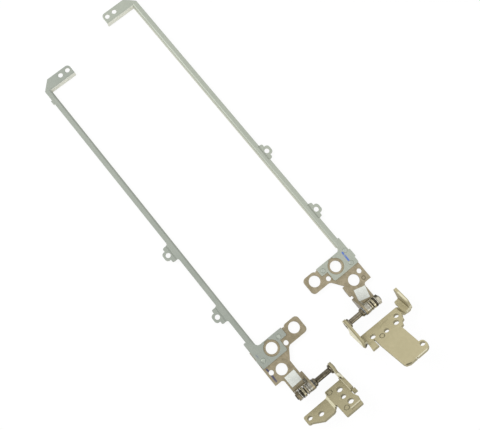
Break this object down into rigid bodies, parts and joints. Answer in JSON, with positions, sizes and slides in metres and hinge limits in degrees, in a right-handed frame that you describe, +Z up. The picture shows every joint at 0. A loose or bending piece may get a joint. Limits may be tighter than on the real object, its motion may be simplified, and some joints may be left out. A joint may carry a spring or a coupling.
{
  "type": "laptop hinge pair",
  "caption": "Pair of left and right hand laptop screen hinges, each a long screen rail, a friction hinge and a folded base bracket.",
  "frame": {"origin": "centre of the bounding box at the table, under the middle of the pair", "axes": "+Y along the rails from the hinge end to the foot, +X across the pair towards the right hinge, +Z up from the table"},
  "size_m": [0.0972, 0.2922, 0.0326],
  "materials": {
    "zinc": "galvanised sheet, satin, slightly green grey",
    "bronze": "bronze passivated steel sheet, satin",
    "gold": "pale gold passivated steel sheet, satin",
    "dark_steel": "turned steel, oiled, dark brown grey",
    "black_steel": "hardened spring steel, dark",
    "steel": "bare steel, greased",
    "label": "blank grey label"
  },
  "bodies": {
    "screen_side": {"left_rail": "zinc", "right_rail": "zinc", "left_bracket": "bronze", "right_bracket": "bronze", "left_rivets": "zinc", "right_rivets": "zinc", "left_label": "label", "right_label": "label", "left_stop_plate": "steel", "right_stop_plate": "steel"},
    "left_base_side": {"left_shaft": "dark_steel", "left_nut": "dark_steel", "left_lock_washer": "steel", "left_spring_discs": "black_steel", "left_pressure_washer": "gold", "left_spacer": "dark_steel", "left_wear_washer": "bronze", "left_cam_washer": "steel", "left_collar_washer": "steel", "left_base_bracket": "gold"},
    "right_base_side": {"right_shaft": "dark_steel", "right_nut": "dark_steel", "right_lock_washer": "steel", "right_spring_discs": "black_steel", "right_pressure_washer": "gold", "right_spacer": "dark_steel", "right_wear_washer": "bronze", "right_cam_washer": "steel", "right_collar_washer": "steel", "right_base_bracket": "gold"}
  },
  "joints": [
    {"name": "left_hinge", "type": "hinge", "parent": "screen_side", "child": "left_base_side", "pos_m": [-0.0268, -0.12018, 0.0092], "axis": [1, 0, 0], "range_deg": [-136, 19]},
    {"name": "right_hinge", "type": "hinge", "parent": "screen_side", "child": "right_base_side", "pos_m": [0.025, -0.10678, 0.0092], "axis": [1, 0, 0], "range_deg": [-136, 19]}
  ]
}
